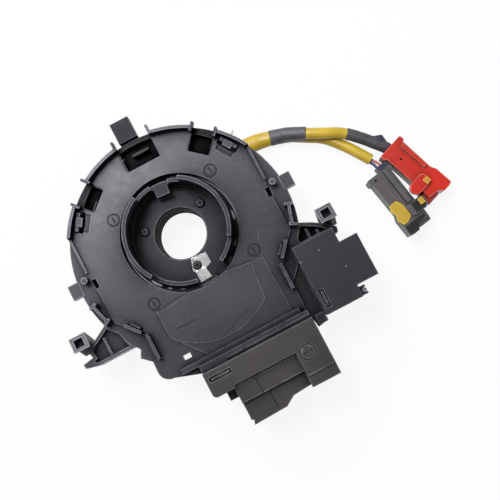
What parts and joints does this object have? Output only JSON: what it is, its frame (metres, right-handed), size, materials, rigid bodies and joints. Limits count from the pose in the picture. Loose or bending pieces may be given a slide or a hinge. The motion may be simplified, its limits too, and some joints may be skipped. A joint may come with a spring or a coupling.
{
  "type": "steering clock spring",
  "caption": "Round spiral cable unit for a steering column: case with connector blocks, turning hub with notched collar, and leads to two airbag plugs.",
  "frame": {"origin": "on the steering shaft's axis at the rotor's front hub, where the unit lies on its front", "axes": "+Z along the shaft towards the column (the unit's back), +Y towards the single snap arm at twelve o'clock, +X towards the side connector block"},
  "size_m": [0.1972, 0.1572, 0.044],
  "materials": {
    "case_plastic": "moulded dark grey, slightly bluish, satin",
    "collar_plastic": "moulded dark grey, satin",
    "connector_plastic": "moulded warm dark grey, satin",
    "strip_metal": "pale plated strip",
    "screw_steel": "plated steel",
    "pin_metal": "plated contact pins",
    "white_plastic": "off-white moulding",
    "milky_sheet": "milky low friction sheet",
    "cable_film": "laminated flat cable",
    "yellow_sleeve": "yellow sleeving",
    "grey_tape": "cloth-like grey tape",
    "red_plastic": "bright red moulding",
    "plug_plastic": "grey moulding",
    "yellow_plastic": "yellow moulding",
    "pink_wire": "insulated wire",
    "blue_wire": "insulated wire"
  },
  "bodies": {
    "stator": {"outer_case": "case_plastic", "back_cover": "case_plastic", "thrust_washer": "milky_sheet", "slide_sheet": "milky_sheet", "flat_cable": "cable_film", "outer_lead_block": "case_plastic", "main_housing": "connector_plastic", "main_terminals": "pin_metal", "main_cover": "connector_plastic", "side_housing": "case_plastic", "side_terminals": "pin_metal", "side_cover": "case_plastic"},
    "rotor": {"rotor": "case_plastic", "collar": "collar_plastic", "contact_strip": "strip_metal", "screw_1": "screw_steel", "screw_2": "screw_steel", "screw_3": "screw_steel", "inner_lead_block": "case_plastic", "front_socket": "case_plastic", "front_terminals": "pin_metal", "white_socket": "white_plastic", "lead_clamp": "case_plastic", "trunk_sleeve": "yellow_sleeve", "trunk_wrap": "grey_tape", "red_lead_sleeve": "yellow_sleeve", "red_lead_tape": "grey_tape", "grey_lead_sleeve": "yellow_sleeve", "grey_wire_1": "pink_wire", "grey_wire_2": "blue_wire", "red_plug": "red_plastic", "red_plug_lock": "yellow_plastic", "red_plug_clip": "yellow_plastic", "grey_plug": "plug_plastic", "grey_plug_clip": "yellow_plastic"},
    "grey_lock": {"grey_plug_lock": "yellow_plastic"}
  },
  "joints": [
    {"name": "rotor_spin", "type": "hinge", "parent": "stator", "child": "rotor", "pos_m": [0, 0, 0], "axis": [0, 0, 1], "range_deg": [-900, 900], "deforming": ["flat_cable"]},
    {"name": "grey_lock_slide", "type": "slide", "parent": "rotor", "child": "grey_lock", "axis": [0, 0, 1], "range_m": [0, 0.003]}
  ]
}
